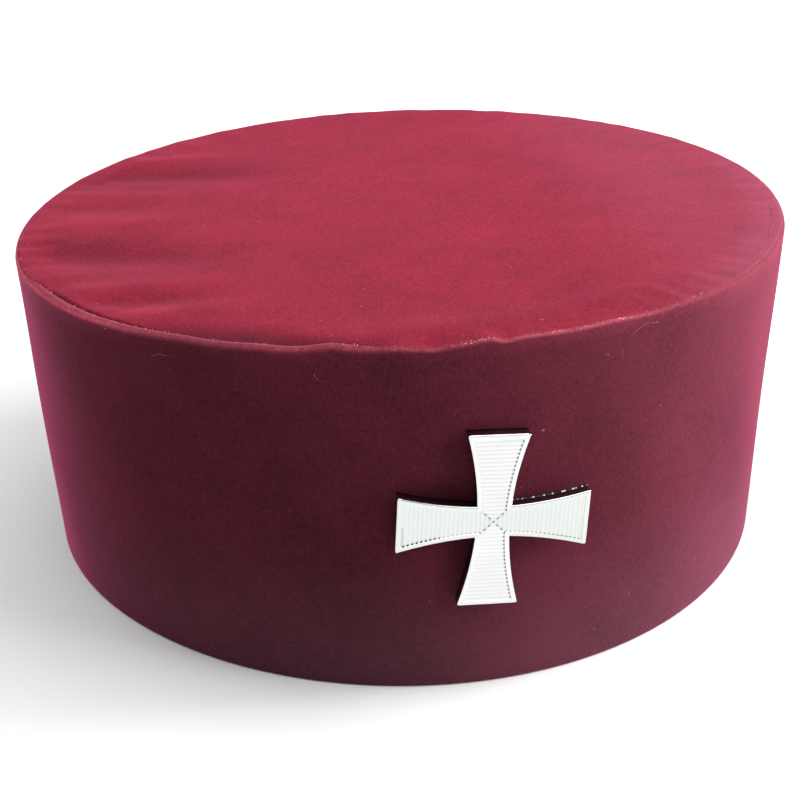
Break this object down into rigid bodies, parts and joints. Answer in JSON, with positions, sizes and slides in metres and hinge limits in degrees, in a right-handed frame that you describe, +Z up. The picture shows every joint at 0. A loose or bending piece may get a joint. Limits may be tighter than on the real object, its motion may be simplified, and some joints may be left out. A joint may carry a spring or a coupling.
{
  "type": "velvet ceremonial cap",
  "caption": "Round flat-topped velvet cap, hollow and open below, with a slightly flared stiff side wall, a sewn top panel with soft folds, and a ribbed silver cross badge on the front.",
  "frame": {"origin": "centre of the base rim, on the surface that the cap stands on", "axes": "+Z up from the head opening to the flat top, -Y towards the badge at the front, +X to the right of a viewer who faces the badge"},
  "size_m": [0.1971, 0.2004, 0.0843],
  "materials": {
    "wall_velvet": "dark burgundy velvet pile over a stiff board, paler where it is seen edge on",
    "top_velvet": "burgundy velvet pile with brushed patches and soft folds",
    "silver": "bright polished silver plate, ribbed, with a plain rim",
    "post_metal": "plain turned metal"
  },
  "bodies": {
    "root": {"side_wall": "wall_velvet", "crown_top": "top_velvet", "cross_badge": "silver", "badge_post": "post_metal"}
  },
  "joints": []
}
